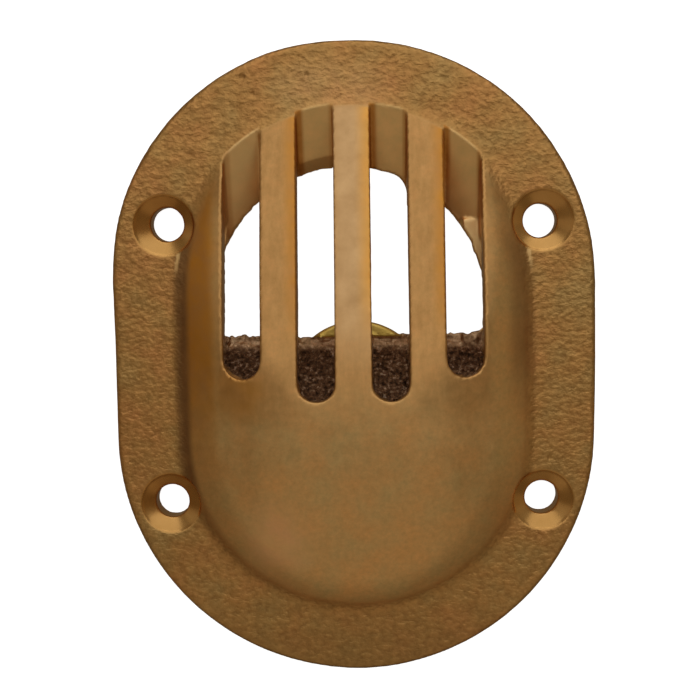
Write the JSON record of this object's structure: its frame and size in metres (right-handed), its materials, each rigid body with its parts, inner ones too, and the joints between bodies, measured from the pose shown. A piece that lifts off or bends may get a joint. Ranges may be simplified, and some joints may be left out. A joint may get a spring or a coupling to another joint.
{
  "type": "hull intake scoop strainer",
  "caption": "Round-ended cast bronze intake strainer for a boat hull: flat screw flange with a low raised scoop, long parallel slots between sloping bars, and an opening in its back.",
  "frame": {"origin": "centre of the flange outline on its flat back face, which is also the middle of the bottom of the bounding box", "axes": "+Z out of the hull, through the hood; +Y along the slots towards their forward ends; +X across the slots"},
  "size_m": [0.0834, 0.1096, 0.0137],
  "materials": {
    "cast_bronze": "sand-cast bronze, grainy, unpolished",
    "dressed_bronze": "bronze dressed smooth on an abrasive belt"
  },
  "bodies": {
    "root": {"mounting_flange": "cast_bronze", "back_tongue": "cast_bronze", "scoop_hood": "dressed_bronze", "grille_bar_left": "dressed_bronze", "grille_bar_centre": "dressed_bronze", "grille_bar_right": "dressed_bronze"}
  },
  "joints": []
}
